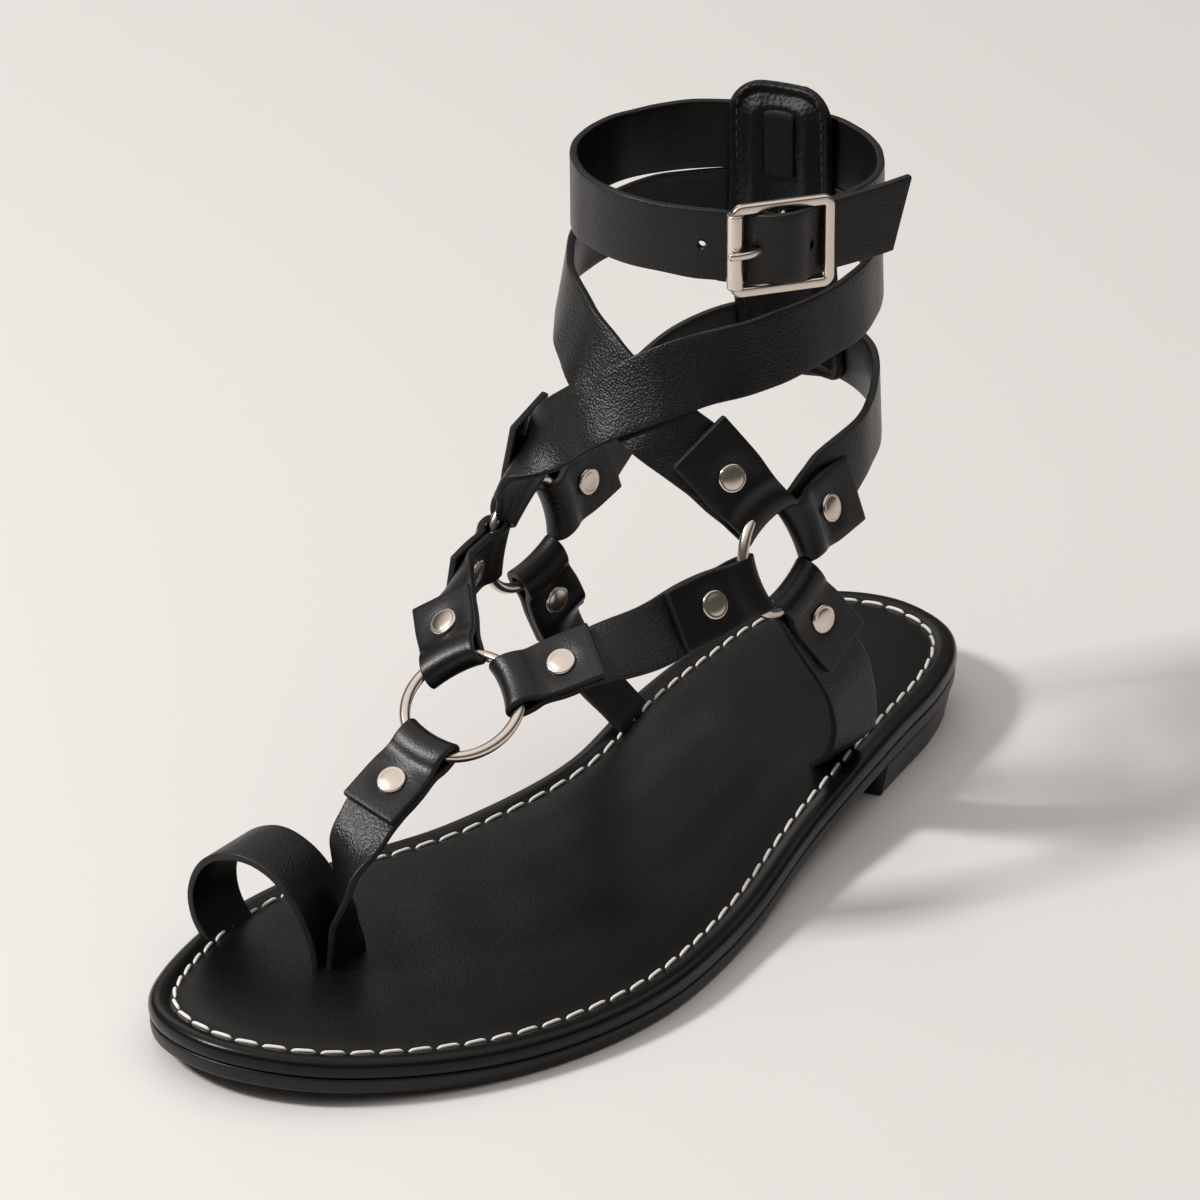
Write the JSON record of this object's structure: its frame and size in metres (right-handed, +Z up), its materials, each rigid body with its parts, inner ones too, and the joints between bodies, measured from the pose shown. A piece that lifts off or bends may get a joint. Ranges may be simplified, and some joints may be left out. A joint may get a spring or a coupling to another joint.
{
  "type": "gladiator sandal",
  "caption": "Flat strappy gladiator sandal, left foot: toe loop, ring-joined instep and ankle wrap straps with folded riveted ends, padded heel tab and buckled ankle strap.",
  "frame": {"origin": "middle of the heel's ground face, on the floor", "axes": "+Z up, -Y towards the toe, +Y towards the heel's back, +X to the outer (lateral) side of this left sandal"},
  "size_m": [0.0962, 0.2506, 0.154],
  "materials": {
    "strap_leather": "fine-grained black leather, soft sheen",
    "footbed": "smooth black leather, satin",
    "sole": "satin black",
    "nickel": "polished pale nickel"
  },
  "bodies": {
    "root": {"ankle_strap": "strap_leather", "back_strap": "strap_leather", "buckle_frame": "nickel", "buckle_prong": "nickel", "buckle_roller": "nickel", "down_strap_lateral": "strap_leather", "down_strap_medial": "strap_leather", "footbed": "footbed", "front_ring": "nickel", "heel_block": "sole", "heel_tab": "strap_leather", "instep_strap_lateral": "strap_leather", "instep_strap_medial": "strap_leather", "lateral_ring": "nickel", "medial_ring": "nickel", "outsole": "sole", "rivet_back_strap_end": "nickel", "rivet_back_strap_start": "nickel", "rivet_down_strap_lateral": "nickel", "rivet_down_strap_medial": "nickel", "rivet_instep_strap_lateral_end": "nickel", "rivet_instep_strap_lateral_start": "nickel", "rivet_instep_strap_medial_end": "nickel", "rivet_instep_strap_medial_start": "nickel", "rivet_toe_post_strap": "nickel", "rivet_wrap_strap_end": "nickel", "rivet_wrap_strap_start": "nickel", "tab_stay": "strap_leather", "toe_loop": "strap_leather", "toe_post_strap": "strap_leather", "wrap_strap": "strap_leather"}
  },
  "joints": []
}
